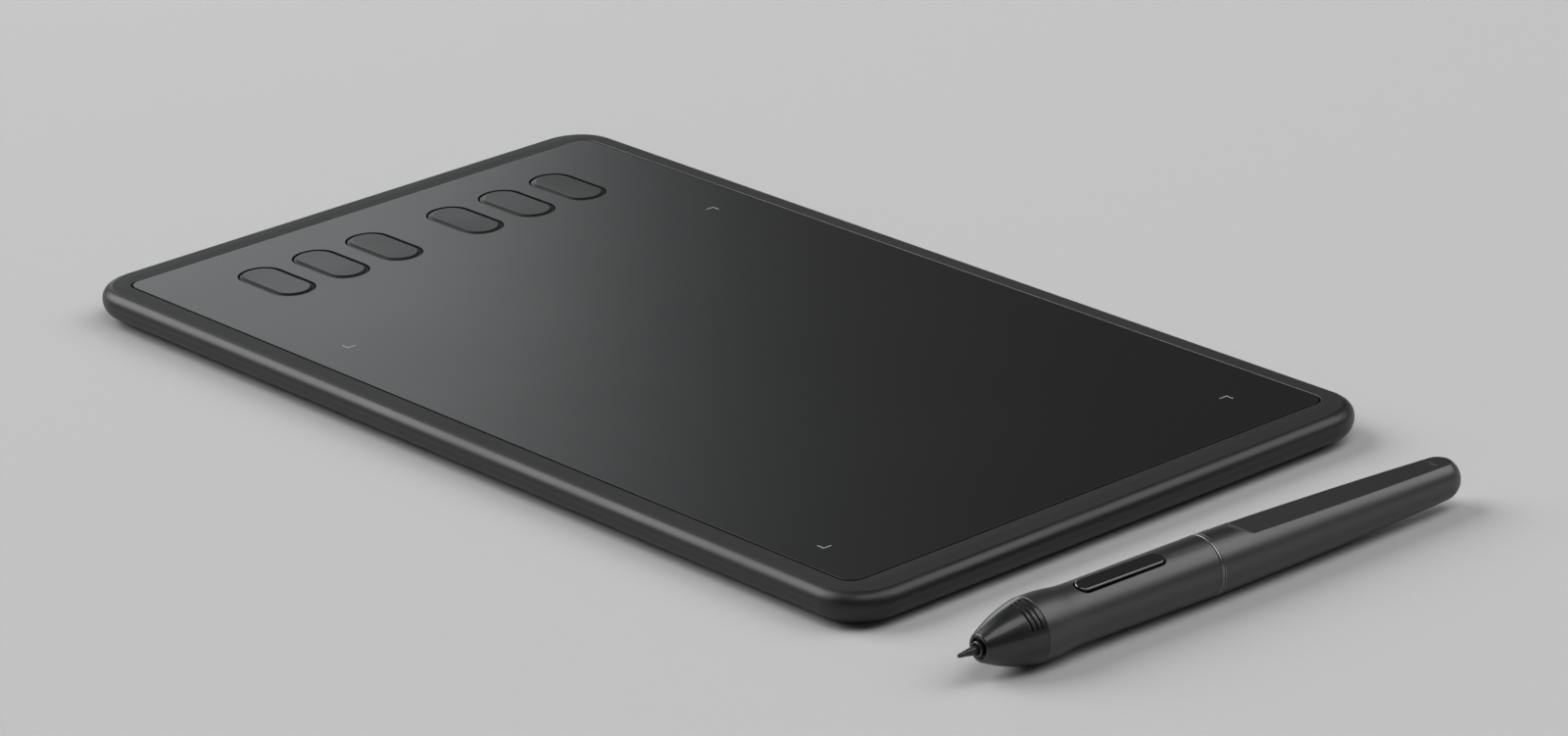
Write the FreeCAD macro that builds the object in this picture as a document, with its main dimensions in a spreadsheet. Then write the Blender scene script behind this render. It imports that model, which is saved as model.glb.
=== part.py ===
import FreeCAD, Part
import math
import os
import Sketcher
from FreeCAD import Placement, Rotation, Vector

# Pen tablet with its pen lying beside it. Millimetres, +Z up. X runs along the tablet from the
# keys (-X) to the plain end (+X), Y across it, and the origin is the middle of the tablet's
# footprint on the surface that it stands on. The pen is drawn along its own +X axis, from the
# tip at 0 to the tail, and is then laid down beside the +X end.

SIZES = [
    # Tablet outline and halves
    ("panel_length", 242.0, "length of the recess for the drawing surface"),
    ("panel_width", 130.0, "width of the recess for the drawing surface"),
    ("rim_end", 8.0, "width of the rim at the tablet's ends"),
    ("rim_side", 6.0, "width of the rim along the tablet's long sides"),
    ("plan_radius", 11.0, "outer corner radius seen from above"),
    ("body_bottom", 0.8, "height of the cover's underside above the table"),
    ("part_height", 4.9, "height of the joint between frame and cover"),
    ("body_top", 8.0, "height of the drawing surface"),
    ("edge_band", 0.1, "upright band beside that joint, the rest of the edge being round"),
    ("rim_fall_run", 5.4, "width over which the rim falls towards the outer edge"),
    ("rim_fall", 0.5, "how far the rim falls over that width"),
    ("rim_round", 2.7, "rounding of the rim's outer edge"),
    # Drawing surface panel
    ("panel_radius", 3.5, "corner radius of the recess"),
    ("panel_thickness", 1.2, "thickness of the panel"),
    ("seam_gap", 0.45, "gap between panel and frame"),
    ("panel_break", 0.05, "small bevel on the panel's edge"),
    ("seam_break", 0.12, "small bevel on the frame's inner edge"),
    # Frame
    ("ledge_width", 3.0, "width of the ledge that carries the panel"),
    ("frame_wall", 2.2, "outer wall of the frame"),
    ("frame_skin", 1.7, "skin of the frame over its channel"),
    ("channel_inset", 0.5, "wall between the panel's recess and the channel"),
    # Bottom cover
    ("cover_floor", 1.4, "floor thickness of the cover"),
    ("lip_clearance", 0.2, "clearance of the cover's lip in the frame"),
    ("lip_width", 1.0, "width of the cover's lip"),
    ("lip_rise", 1.0, "height of the cover's lip"),
    ("rib_width", 1.2, "width of the cover's ribs"),
    ("rib_count", 6, "number of cross ribs"),
    ("rib_inset", 1.0, "ribs from the edge of the plate that they carry"),
    ("long_rib_inset", 27.0, "long ribs from the long edge of that plate"),
    # Case screws and feet
    ("corner_inset_end", 12.5, "case screws and feet from the tablet's ends"),
    ("corner_inset_side", 10.5, "case screws and feet from its long sides"),
    ("boss_diameter", 5.5, "screw boss on the frame"),
    ("post_diameter", 7.0, "screw post on the cover"),
    ("post_rise", 0.7, "height of the screw post above the floor"),
    ("case_screw_diameter", 2.0, "case screw shank"),
    ("case_head_diameter", 3.8, "case screw head"),
    ("case_head_thickness", 0.65, "case screw head thickness"),
    ("head_gap", 0.05, "gap between case screw head and foot"),
    ("boss_cap", 0.6, "boss above its pilot hole"),
    ("pilot_reserve", 0.6, "pilot hole beyond the screw"),
    ("screw_gap", 0.02, "radial gap of a screw in its pilot hole"),
    ("hole_gap", 0.2, "radial gap of a screw in a clearance hole"),
    ("foot_diameter", 11.0, "rubber foot"),
    ("foot_seat_depth", 0.6, "depth of the foot's seat in the cover"),
    ("foot_gap", 0.15, "radial gap of a foot in its seat"),
    ("foot_bevel", 0.3, "bevel of a foot's lower edge"),
    # Express keys
    ("key_inset", 23.75, "key column from the end of the panel's recess"),
    ("key_pitch", 14.8, "distance between keys in a group"),
    ("key_middle", 22.8, "distance between the two middle keys"),
    ("key_length", 21.0, "key cap length"),
    ("key_width", 9.6, "key cap width"),
    ("key_gap", 0.45, "gap around a key cap"),
    ("key_rise", 0.2, "height of a key above the panel"),
    ("bevel_run", 1.0, "width of the bevel round a key's top"),
    ("bevel_drop", 0.4, "height of the bevel round a key's top"),
    ("flange_margin", 1.3, "how far a key's flange reaches under the panel"),
    ("flange_thickness", 0.4, "key flange thickness"),
    ("flange_gap", 0.25, "gap between flange and panel"),
    ("key_stem_diameter", 3.2, "stem under a key"),
    ("key_stem_rise", 0.1, "height of that stem"),
    ("key_travel", 0.3, "travel of a key"),
    ("key_reserve", 0.08, "gap left under a pressed key"),
    ("guide_border", 4.2, "key guide beyond the outer key flanges"),
    ("guide_thickness", 0.9, "key guide thickness"),
    ("guide_gap", 0.2, "gap between key flange and guide"),
    ("guide_radius", 2.5, "corner radius of the key guide"),
    # Sensor stack under the panel
    ("stack_key_inset", 48.0, "stack from the key end of the panel's recess"),
    ("stack_far_inset", 9.0, "stack from the far end of that recess"),
    ("stack_side_inset", 8.0, "stack from its long sides"),
    ("sensor_thickness", 1.0, "sensor board"),
    ("shield_thickness", 0.3, "shield sheet"),
    ("plate_thickness", 1.0, "stiffening plate"),
    ("sensor_tab", 5.0, "tab of the sensor board on the key side"),
    ("tab_width", 24.0, "width of that tab"),
    # Control board
    ("board_end_inset", 5.4, "control board from the tablet's end"),
    ("board_stack_gap", 6.0, "control board from the sensor stack"),
    ("board_side_inset", 19.0, "control board from the tablet's long sides"),
    ("board_thickness", 0.8, "control board's thickness"),
    ("board_lift", 0.6, "height of the control board above the cover's floor"),
    ("board_post_diameter", 4.0, "posts that carry the control board"),
    ("board_post_inset", 4.0, "board screws from the board's edges"),
    ("board_screw_diameter", 1.4, "board screw shank"),
    ("board_head_diameter", 2.8, "board screw head"),
    ("board_head_thickness", 0.7, "board screw head thickness"),
    ("board_screw_length", 1.3, "board screw below its head"),
    ("tact_side", 6.0, "tact switch body"),
    ("tact_button_diameter", 3.0, "tact switch button"),
    ("tact_button_rise", 0.25, "tact switch button height"),
    ("chip_side", 7.0, "controller chip"),
    ("chip_thickness", 0.9, "controller chip thickness"),
    ("chip_inset", 6.0, "middle of the chip from the control board's inner edge"),
    ("chip_y", 19.0, "controller chip across the tablet"),
    ("connector_depth", 3.4, "ribbon connector along the tablet"),
    ("connector_rise", 1.1, "ribbon connector height"),
    ("ribbon_width", 16.0, "ribbon cable width"),
    ("ribbon_thickness", 0.2, "ribbon cable thickness"),
    ("ribbon_reach", 3.5, "ribbon cable's run under the sensor tab"),
    # Charging and data port
    ("port_width", 7.5, "port shell width"),
    ("port_rise", 2.5, "port shell height"),
    ("port_depth", 5.6, "port shell depth"),
    ("port_wall", 0.3, "port shell wall"),
    ("port_setback", 1.6, "port face behind the tablet's end"),
    ("port_tongue_setback", 0.6, "contact tongue behind the port's face"),
    ("port_bevel", 0.9, "slanted lower corners of the port"),
    ("tongue_width", 3.7, "contact tongue width"),
    ("tongue_thickness", 0.6, "contact tongue thickness"),
    ("port_window_gap", 0.35, "gap between port and its window"),
    # Pen outline, lengths along the axis from the tip
    ("nib_radius", 0.85, "nib"),
    ("nib_cone", 3.4, "length of the nib's cone"),
    ("nib_tip_radius", 0.42, "rounded end of the nib"),
    ("nib_reach", 5.2, "nib in front of the nose cone"),
    ("collar_reach", 0.7, "collar round the nib in front of the nose cone"),
    ("collar_radius", 1.6, "collar round the nib"),
    ("nose_length", 11.9, "nose cone's outside"),
    ("nose_face_radius", 2.85, "radius of the nose cone's front"),
    ("nose_bulge", 0.532, "outward bow of the nose cone half way along"),
    ("nose_groove_radius", 2.2, "outer radius of the groove in the nose's face"),
    ("nose_groove_depth", 0.9, "depth of that groove"),
    ("edge_break", 0.15, "small bevel on that collar, the nose cone's face and the metal ring"),
    ("joint_break", 0.15, "bevel on both sides of the joint between nose cone and grip"),
    ("crown_radius", 6.75, "widest radius of the pen, where the grip meets the nose cone"),
    ("crown_length", 2.7, "length of the widest part"),
    ("shoulder_length", 8.6, "fall from the widest part to the waist"),
    ("waist_radius", 6.12, "radius at the waist's start"),
    ("grip_length", 44.4, "grip's outside"),
    ("joint_radius", 6.33, "barrel radius beside the ring"),
    ("ring_radius", 6.4, "outer radius of the metal ring"),
    ("ring_width", 1.0, "width of the metal ring"),
    ("ring_groove_place", 0.55, "front of the ring's fine groove"),
    ("ring_groove_width", 0.2, "width of that groove"),
    ("ring_groove_depth", 0.2, "depth of that groove"),
    ("pen_length", 129.8, "length of the pen"),
    ("rear_bulge", 0.305, "outward bow of the rear barrel half way along"),
    ("dome_radius", 4.6, "radius of the rounded tail"),
    ("spigot_radius", 5.3, "nose cone's spigot inside the grip"),
    ("spigot_length", 4.0, "length of that spigot"),
    ("spigot_wall", 0.8, "wall of that spigot"),
    ("neck_radius", 5.2, "grip's neck inside the ring and rear barrel"),
    ("neck_length", 6.0, "neck behind the ring"),
    ("pen_fit", 0.05, "radial clearance of the pen's plugged joints"),
    ("grip_bore", 4.6, "bore radius of the grip"),
    ("tail_wall", 12.8, "solid tail behind the rear barrel's bore"),
    ("rear_bore_radius", 3.2, "bore radius at the tail"),
    ("nib_clearance", 0.3, "radial clearance round the nib in the nose"),
    ("nib_guide", 0.05, "radial clearance of the nib in the ferrite core"),
    ("core_clearance", 0.3, "radial clearance of the core in the nose"),
    # Short slots round the nose cone's base
    ("slot_setback", 0.95, "rear slot from the grip"),
    ("slot_pitch", 1.0, "distance between slots"),
    ("slot_width", 0.5, "width of a slot"),
    ("slot_depth", 0.2, "depth of a slot"),
    ("slot_angle", 74.0, "length of a slot round the cone, degrees"),
    ("slot_turn", 30.0, "middle of the slots from the pen's top, degrees"),
    # Flat and slit on the rear barrel
    ("flat_setback", 0.1, "start of the ramp behind the grip's neck"),
    ("flat_ramp", 3.6, "length of that ramp"),
    ("flat_start_height", 4.98, "height of the flat above the axis, at the ramp"),
    ("flat_end_height", 3.62, "height of the flat above the axis, at the tail"),
    ("slit_inset", 6.4, "short slit from the tail"),
    ("slit_length", 2.6, "length of the slit, across the flat"),
    ("slit_width", 0.6, "width of the slit"),
    ("slit_depth", 0.3, "depth of the slit"),
    # Pen side switch
    ("switch_turn", 14.5, "side switch from the pen's top, away from the tablet, degrees"),
    ("switch_setback", 22.3, "middle of the side switch behind the nose cone"),
    ("switch_length", 21.7, "side switch length"),
    ("switch_width", 3.5, "side switch width"),
    ("switch_gap", 0.35, "gap round the side switch"),
    ("switch_top", 6.45, "height of the side switch above the axis"),
    ("switch_bottom", 4.9, "underside of the side switch above the axis"),
    ("switch_round", 0.3, "rounding of the side switch"),
    ("pivot_height", 2.0, "pivot of the side switch above the axis"),
    ("pivot_radius", 0.6, "pivot pin radius"),
    ("pivot_clearance", 0.05, "radial clearance of the pivot pin"),
    ("web_thickness", 1.6, "web between switch and pivot"),
    ("web_gap", 0.25, "gap between that web and the ears"),
    ("ear_wall", 0.4, "wall of the pivot ears above the pin's hole"),
    ("ear_half", 1.1, "half length of the pivot ears"),
    ("presser_offset", 6.0, "presser feet from the pivot"),
    ("presser_radius", 0.8, "presser foot radius"),
    ("presser_gap", 0.25, "gap between presser foot and its switch"),
    # Pen inside
    ("nose_wall", 3.4, "front of the ferrite core behind the nose cone's front"),
    ("core_length", 12.4, "ferrite core"),
    ("core_radius", 2.3, "ferrite core radius"),
    ("coil_setback", 4.0, "coil from the core's front"),
    ("coil_length", 7.0, "coil"),
    ("coil_radius", 3.1, "coil radius"),
    ("holder_gap", 1.0, "gap between core and nib holder"),
    ("holder_length", 4.8, "nib holder"),
    ("holder_radius", 1.6, "nib holder radius"),
    ("holder_depth", 2.6, "nib's end inside its holder"),
    ("holder_grip", 0.01, "gap between nib and holder"),
    ("holder_clearance", 0.1, "radial clearance of the holder in its bed"),
    ("nib_travel", 0.5, "travel of the nib"),
    ("nib_reserve", 0.1, "gap left behind a pressed nib"),
    ("gauge_length", 2.2, "pressure sensor"),
    ("gauge_bore", 0.6, "bore radius of the pressure sensor"),
    ("carrier_gap", 0.4, "gap between core and inner carrier"),
    ("carrier_setback", 2.0, "carrier's end from the neck's end"),
    ("carrier_clearance", 0.2, "clearance of the carrier in the grip"),
    ("carrier_top", -0.3, "top of the carrier against the axis"),
    ("trough_ledge", 0.45, "ledge that carries the pen's circuit board"),
    ("trough_depth", 2.6, "depth of the carrier's trough"),
    ("trough_wall", 1.6, "end wall of the trough"),
    ("pen_board_gap", 0.8, "circuit board behind the pressure sensor"),
    ("pen_board_setback", 0.5, "circuit board from the carrier's end"),
    ("pen_board_clearance", 0.15, "circuit board between the ears"),
    ("pen_board_thickness", 0.6, "thickness of the pen's circuit board"),
    ("pen_tact_side", 3.0, "tact switches in the pen"),
    ("pen_tact_rise", 2.3, "height of those switches"),
    ("pen_tact_button_radius", 0.7, "their buttons"),
    ("pen_tact_button_rise", 0.4, "height of those buttons"),
    # Pen lying beside the tablet
    ("pen_gap", 30.56, "pen tip beyond the tablet's end"),
    ("pen_overhang", 1.2, "pen tip beyond the tablet's near long side"),
    ("pen_yaw", 1.75, "turn of the pen from the tablet's end, degrees"),
]

KEY_COUNT = 6
SLOT_COUNT = 3
DIAGONAL = math.sqrt(0.5)

os.makedirs("parts", exist_ok=True)
doc = FreeCAD.newDocument("PenTablet")
sheet = doc.addObject("Spreadsheet::Sheet", "Sizes")
sheet.Label = "Sizes"


class Size:
    """A number together with the expression that gives it from the sheet's cells."""

    def __init__(self, value, text):
        self.value = float(value)
        self.text = text

    def _with(self, other, sign, turned=False):
        first, second = self, other if isinstance(other, Size) else Size(other, repr(float(other)))
        if turned:
            first, second = second, first
        values = {"+": first.value + second.value, "-": first.value - second.value,
                  "*": first.value * second.value,
                  "/": first.value / second.value if second.value else 0.0}
        return Size(values[sign], "(%s %s %s)" % (first.text, sign, second.text))

    def __add__(self, other):
        return self._with(other, "+")

    def __radd__(self, other):
        return self._with(other, "+", True)

    def __sub__(self, other):
        return self._with(other, "-")

    def __rsub__(self, other):
        return self._with(other, "-", True)

    def __mul__(self, other):
        return self._with(other, "*")

    def __rmul__(self, other):
        return self._with(other, "*", True)

    def __truediv__(self, other):
        return self._with(other, "/")

    def __neg__(self):
        return self._with(0.0, "-", True)


class Cells:
    """The sheet's sizes by name."""


size = Cells()
for row, (alias, number, note) in enumerate(SIZES, start=1):
    sheet.set("A%d" % row, note)
    sheet.set("B%d" % row, repr(number))
    sheet.setAlias("B%d" % row, alias)
    setattr(size, alias, Size(number, "Sizes." + alias))
doc.recompute()


# Helpers that draw and bind

def as_size(number):
    return number if isinstance(number, Size) else Size(number, repr(float(number)))


def bind(thing, name, number):
    thing.setExpression(name, as_size(number).text)


def new_body(label):
    body = doc.addObject("PartDesign::Body", label)
    body.Label = label
    return body


def sketch_on(body, role, height=0.0, name="Outline"):
    plane = [item for item in body.Origin.OriginFeatures if item.Role == role][0]
    sketch = body.newObject("Sketcher::SketchObject", name)
    sketch.AttachmentSupport = (plane, [""])
    sketch.MapMode = "FlatFace"
    bind(sketch, ".AttachmentOffset.Base.z", height)
    return sketch


def dimension(sketch, kind, where, number):
    index = sketch.addConstraint(Sketcher.Constraint(kind, *where, number.value))
    bind(sketch, "Constraints[%d]" % index, number)


def place_point(sketch, geometry, point, x, y):
    for kind, axis, number in (("DistanceX", -2, as_size(x)), ("DistanceY", -1, as_size(y))):
        if abs(number.value) < 1e-9:
            sketch.addConstraint(Sketcher.Constraint("PointOnObject", geometry, point, axis))
        else:
            dimension(sketch, kind, (-1, 1, geometry, point), number)


def corner_arc(x, y, radius, start_degrees):
    circle = Part.Circle(Vector(x, y, 0), Vector(0, 0, 1), radius)
    start = math.radians(start_degrees)
    return Part.ArcOfCircle(circle, start, start + math.pi / 2)


def rounded_rectangle(sketch, length, width, radius):
    """A rectangle with round corners about the sketch's origin."""
    length, width, radius = as_size(length), as_size(width), as_size(radius)
    x, y, r = length.value / 2, width.value / 2, radius.value
    pieces = [
        Part.LineSegment(Vector(-x + r, -y, 0), Vector(x - r, -y, 0)),
        corner_arc(x - r, -y + r, r, -90),
        Part.LineSegment(Vector(x, -y + r, 0), Vector(x, y - r, 0)),
        corner_arc(x - r, y - r, r, 0),
        Part.LineSegment(Vector(x - r, y, 0), Vector(-x + r, y, 0)),
        corner_arc(-x + r, y - r, r, 90),
        Part.LineSegment(Vector(-x, y - r, 0), Vector(-x, -y + r, 0)),
        corner_arc(-x + r, -y + r, r, 180),
    ]
    ids = [sketch.addGeometry(piece) for piece in pieces]
    for number, this in enumerate(ids):
        after = ids[(number + 1) % len(ids)]
        sketch.addConstraint(Sketcher.Constraint("Tangent", this, 2, after, 1))
    for flat, upright in ((ids[0], ids[2]), (ids[4], ids[6])):
        sketch.addConstraint(Sketcher.Constraint("Horizontal", flat))
        sketch.addConstraint(Sketcher.Constraint("Vertical", upright))
    for arc in (ids[3], ids[5], ids[7]):
        sketch.addConstraint(Sketcher.Constraint("Equal", ids[1], arc))
    sketch.addConstraint(Sketcher.Constraint("Symmetric", ids[7], 3, ids[3], 3, -1, 1))
    dimension(sketch, "Radius", (ids[1],), radius)
    dimension(sketch, "DistanceX", (ids[7], 3, ids[3], 3), length - 2 * radius)
    dimension(sketch, "DistanceY", (ids[7], 3, ids[3], 3), width - 2 * radius)


def obround(sketch, x, y, length, width):
    """A slot shape along X about the point x, y."""
    x, y, length, width = as_size(x), as_size(y), as_size(length), as_size(width)
    half, radius = (length - width) / 2, width / 2
    r = radius.value
    left = Part.Circle(Vector((x - half).value, y.value, 0), Vector(0, 0, 1), r)
    right = Part.Circle(Vector((x + half).value, y.value, 0), Vector(0, 0, 1), r)
    low, high = y.value - r, y.value + r
    x0, x1 = (x - half).value, (x + half).value
    ids = [sketch.addGeometry(piece) for piece in (
        Part.LineSegment(Vector(x0, low, 0), Vector(x1, low, 0)),
        Part.ArcOfCircle(right, -math.pi / 2, math.pi / 2),
        Part.LineSegment(Vector(x1, high, 0), Vector(x0, high, 0)),
        Part.ArcOfCircle(left, math.pi / 2, 3 * math.pi / 2))]
    for number, this in enumerate(ids):
        after = ids[(number + 1) % len(ids)]
        sketch.addConstraint(Sketcher.Constraint("Tangent", this, 2, after, 1))
    sketch.addConstraint(Sketcher.Constraint("Horizontal", ids[0]))
    sketch.addConstraint(Sketcher.Constraint("Equal", ids[1], ids[3]))
    dimension(sketch, "Radius", (ids[1],), radius)
    dimension(sketch, "DistanceX", (ids[3], 3, ids[1], 3), half * 2)
    place_point(sketch, ids[3], 3, x - half, y)


def circle(sketch, x, y, radius):
    x, y, radius = as_size(x), as_size(y), as_size(radius)
    this = sketch.addGeometry(Part.Circle(Vector(x.value, y.value, 0), Vector(0, 0, 1), radius.value))
    dimension(sketch, "Radius", (this,), radius)
    place_point(sketch, this, 3, x, y)


def outline(sketch, points):
    """A closed outline. A point is (x, y), or (x, y, (mx, my)) where the stretch that leaves
    it is an arc through mx, my."""
    corners = [(as_size(p[0]), as_size(p[1])) for p in points]
    ids = []
    for number, point in enumerate(points):
        (x0, y0), (x1, y1) = corners[number], corners[(number + 1) % len(points)]
        start, end = Vector(x0.value, y0.value, 0), Vector(x1.value, y1.value, 0)
        if len(point) == 2:
            ids.append((sketch.addGeometry(Part.LineSegment(start, end)), 1, 2))
            continue
        mx, my = as_size(point[2][0]), as_size(point[2][1])
        middle = Vector(mx.value, my.value, 0)
        this = sketch.addGeometry(Part.Arc(start, middle, end))
        forward = sketch.getPoint(this, 1).distanceToPoint(start) < 1e-6
        ids.append((this, 1, 2) if forward else (this, 2, 1))
        mark = sketch.addGeometry(Part.Point(middle), True)
        place_point(sketch, mark, 1, mx, my)
        sketch.addConstraint(Sketcher.Constraint("PointOnObject", mark, 1, this))
    for number, (this, first, last) in enumerate(ids):
        after, after_first, _ = ids[(number + 1) % len(ids)]
        sketch.addConstraint(Sketcher.Constraint("Coincident", this, last, after, after_first))
        place_point(sketch, this, first, *corners[number])


def rectangle(sketch, x0, y0, x1, y1):
    outline(sketch, [(x0, y0), (x1, y0), (x1, y1), (x0, y1)])


def pad(body, sketch, length, down=False, both=False):
    feature = body.newObject("PartDesign::Pad", "Pad")
    feature.Profile = sketch
    bind(feature, "Length", length)
    feature.Reversed = down
    feature.Midplane = both
    return feature


def pocket(body, sketch, depth, up=False, both=False):
    feature = body.newObject("PartDesign::Pocket", "Pocket")
    feature.Profile = sketch
    bind(feature, "Length", depth)
    feature.Reversed = up
    feature.Midplane = both
    return feature


def revolve(body, sketch, cut=False):
    kind = "PartDesign::Groove" if cut else "PartDesign::Revolution"
    feature = body.newObject(kind, "Turned")
    feature.Profile = sketch
    feature.ReferenceAxis = (sketch, ["H_Axis"])
    feature.Angle = 360
    return feature


def edges_where(feature, test):
    return ["Edge%d" % number for number, edge in enumerate(feature.Shape.Edges, start=1) if test(edge)]


def at_height(z):
    return lambda edge: abs(edge.BoundBox.ZMin - z) < 1e-4 and abs(edge.BoundBox.ZMax - z) < 1e-4


def dress(body, kind, base, edges, number):
    feature = body.newObject("PartDesign::" + kind, kind)
    feature.Base = (base, edges)
    bind(feature, "Radius" if kind == "Fillet" else "Size", number)
    return feature


def slope(body, label, base, z, run, drop):
    """A bevel round the edges at height z, run wide as seen from above and drop high."""
    feature = body.newObject("PartDesign::Chamfer", label)
    feature.Base = (base, edges_where(base, at_height(z.value)))
    feature.ChamferType = "Two distances"
    feature.FlipDirection = True
    bind(feature, "Size", run)
    bind(feature, "Size2", drop)
    doc.recompute()
    return feature


def box(label, x0, x1, y0, y1, z0, z1):
    """A plain block between named faces."""
    block = doc.addObject("Part::Box", label)
    block.Label = label
    for name, low, high in (("Length", x0, x1), ("Width", y0, y1), ("Height", z0, z1)):
        bind(block, name, as_size(high) - low)
    for name, low in (("x", x0), ("y", y0), ("z", z0)):
        bind(block, ".Placement.Base." + name, low)
    return block


def solid_group(label, solids):
    group = doc.addObject("Part::Feature", label)
    group.Label = label
    group.Shape = Part.makeCompound(solids)
    return group


# Lengths, heights and places that several pieces share

def chord(radius, height):
    """Half the width of a round bar at a height above its middle."""
    text = "sqrt(%s ^ 2 - %s ^ 2)" % (radius.text, height.text)
    return Size(math.sqrt(radius.value ** 2 - height.value ** 2), text)


body_length = size.panel_length + 2 * size.rim_end
body_width = size.panel_width + 2 * size.rim_side
corner_x = body_length / 2 - size.corner_inset_end
corner_y = body_width / 2 - size.corner_inset_side
stack_start = size.stack_key_inset - size.panel_length / 2
stack_end = size.panel_length / 2 - size.stack_far_inset
stack_half = size.panel_width / 2 - size.stack_side_inset
board_start = size.board_end_inset - body_length / 2
board_end = stack_start - size.board_stack_gap
board_half = body_width / 2 - size.board_side_inset
cover_floor_top = size.body_bottom + size.cover_floor
cover_inset = size.frame_wall + size.lip_clearance + size.lip_width
panel_bottom = size.body_top - size.panel_thickness
sensor_bottom = panel_bottom - size.sensor_thickness
shield_bottom = sensor_bottom - size.shield_thickness
plate_bottom = shield_bottom - size.plate_thickness
board_bottom = cover_floor_top + size.board_lift
board_top = board_bottom + size.board_thickness
post_top = cover_floor_top + size.post_rise
flange_top = panel_bottom - size.flange_gap
flange_bottom = flange_top - size.flange_thickness
stem_bottom = flange_bottom - size.key_stem_rise
tact_button_top = stem_bottom - size.key_travel - size.key_reserve
tact_top = tact_button_top - size.tact_button_rise
head_seat = size.body_bottom + size.foot_seat_depth + size.head_gap + size.case_head_thickness
pilot_top = panel_bottom - size.boss_cap
port_middle = board_top + size.port_rise / 2
port_face = size.port_setback - body_length / 2
key_x = size.key_inset - size.panel_length / 2
key_places = [side * (size.key_middle / 2 + step * size.key_pitch)
              for side, steps in ((-1, (2, 1, 0)), (1, (0, 1, 2))) for step in steps]
corner_places = [(x * corner_x, y * corner_y) for x in (-1, 1) for y in (-1, 1)]
nose_start = size.nib_reach
nose_end = nose_start + size.nose_length
spigot_end = nose_end + size.spigot_length
crown_end = nose_end + size.crown_length
waist_start = crown_end + size.shoulder_length
ring_start = nose_end + size.grip_length
ring_end = ring_start + size.ring_width
neck_end = ring_end + size.neck_length
switch_place = nose_end + size.switch_setback
core_start = nose_start + size.nose_wall
core_end = core_start + size.core_length
holder_start = core_end + size.holder_gap
nib_end = holder_start + size.holder_depth
holder_end = holder_start + size.holder_length
gauge_start = holder_end + size.nib_travel + size.nib_reserve
gauge_end = gauge_start + size.gauge_length
carrier_start = core_end + size.carrier_gap
carrier_end = neck_end - size.carrier_setback
carrier_radius = size.grip_bore - size.carrier_clearance
pen_board_start = gauge_end + size.pen_board_gap
ear_inner = size.switch_width / 2 + size.web_gap
pen_board_half = ear_inner - size.pen_board_clearance
pen_board_top = size.carrier_top + size.pen_board_thickness
pen_button_top = pen_board_top + size.pen_tact_rise + size.pen_tact_button_rise
ear_top = size.pivot_height + size.pivot_radius + size.pivot_clearance + size.ear_wall
ear_outer = chord(carrier_radius, ear_top)
board_post_places = [(x, side * (board_half - size.board_post_inset))
                     for x in (board_start + size.board_post_inset, board_end - size.board_post_inset)
                     for side in (-1, 1)]


# Tablet

def top_frame():
    body = new_body("top_frame")
    rim = sketch_on(body, "XY_Plane", size.part_height)
    rounded_rectangle(rim, body_length, body_width, size.plan_radius)
    solid = pad(body, rim, size.body_top - size.part_height)
    doc.recompute()
    fall = slope(body, "RimFall", solid, size.body_top, size.rim_fall_run, size.rim_fall)
    outer_edges = edges_where(fall, at_height((size.body_top - size.rim_fall).value))
    dress(body, "Fillet", fall, outer_edges, size.rim_round)

    recess = sketch_on(body, "XY_Plane", size.body_top, "Recess")
    rounded_rectangle(recess, size.panel_length, size.panel_width, size.panel_radius)
    solid = pocket(body, recess, size.panel_thickness)
    doc.recompute()
    inner = size.panel_width.value / 2 + 1e-3
    mouth = edges_where(solid, lambda edge: at_height(size.body_top.value)(edge)
                        and max(abs(edge.BoundBox.YMin), abs(edge.BoundBox.YMax)) < inner)
    solid = dress(body, "Chamfer", solid, mouth, size.seam_break)

    window = sketch_on(body, "XY_Plane", panel_bottom, "Window")
    rounded_rectangle(window, size.panel_length - 2 * size.ledge_width,
                      size.panel_width - 2 * size.ledge_width, size.panel_radius)
    pocket(body, window, panel_bottom - size.part_height)

    channel = sketch_on(body, "XY_Plane", size.part_height, "Channel")
    rounded_rectangle(channel, body_length - 2 * size.frame_wall,
                      body_width - 2 * size.frame_wall, size.plan_radius - size.frame_wall)
    rounded_rectangle(channel, size.panel_length + 2 * size.channel_inset,
                      size.panel_width + 2 * size.channel_inset, size.panel_radius + size.channel_inset)
    pocket(body, channel, size.body_top - size.frame_skin - size.part_height, up=True)

    bosses = sketch_on(body, "XY_Plane", post_top, "Bosses")
    for x, y in corner_places:
        circle(bosses, x, y, size.boss_diameter / 2)
    pad(body, bosses, panel_bottom - post_top)
    pilots = sketch_on(body, "XY_Plane", post_top, "Pilots")
    for x, y in corner_places:
        circle(pilots, x, y, size.case_screw_diameter / 2 + size.screw_gap)
    pocket(body, pilots, pilot_top - post_top, up=True)
    port_window(body)


def port_window(body):
    """The window for the port, cut through the end wall of a housing half."""
    window = sketch_on(body, "YZ_Plane", -body_length / 2, "PortWindow")
    half = size.port_width / 2 + size.port_window_gap
    rise = size.port_rise / 2 + size.port_window_gap
    rectangle(window, -half, port_middle - rise, half, port_middle + rise)
    pocket(body, window, size.port_setback + size.port_depth + size.port_window_gap, up=True)


def surface_panel():
    body = new_body("surface_panel")
    plate = sketch_on(body, "XY_Plane", panel_bottom)
    rounded_rectangle(plate, size.panel_length - 2 * size.seam_gap,
                      size.panel_width - 2 * size.seam_gap, size.panel_radius - size.seam_gap)
    solid = pad(body, plate, size.panel_thickness)
    doc.recompute()
    dress(body, "Chamfer", solid, edges_where(solid, at_height(size.body_top.value)), size.panel_break)
    windows = sketch_on(body, "XY_Plane", size.body_top, "KeyWindows")
    for y in key_places:
        obround(windows, key_x, y, size.key_length + 2 * size.key_gap, size.key_width + 2 * size.key_gap)
    pocket(body, windows, size.panel_thickness)


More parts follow.
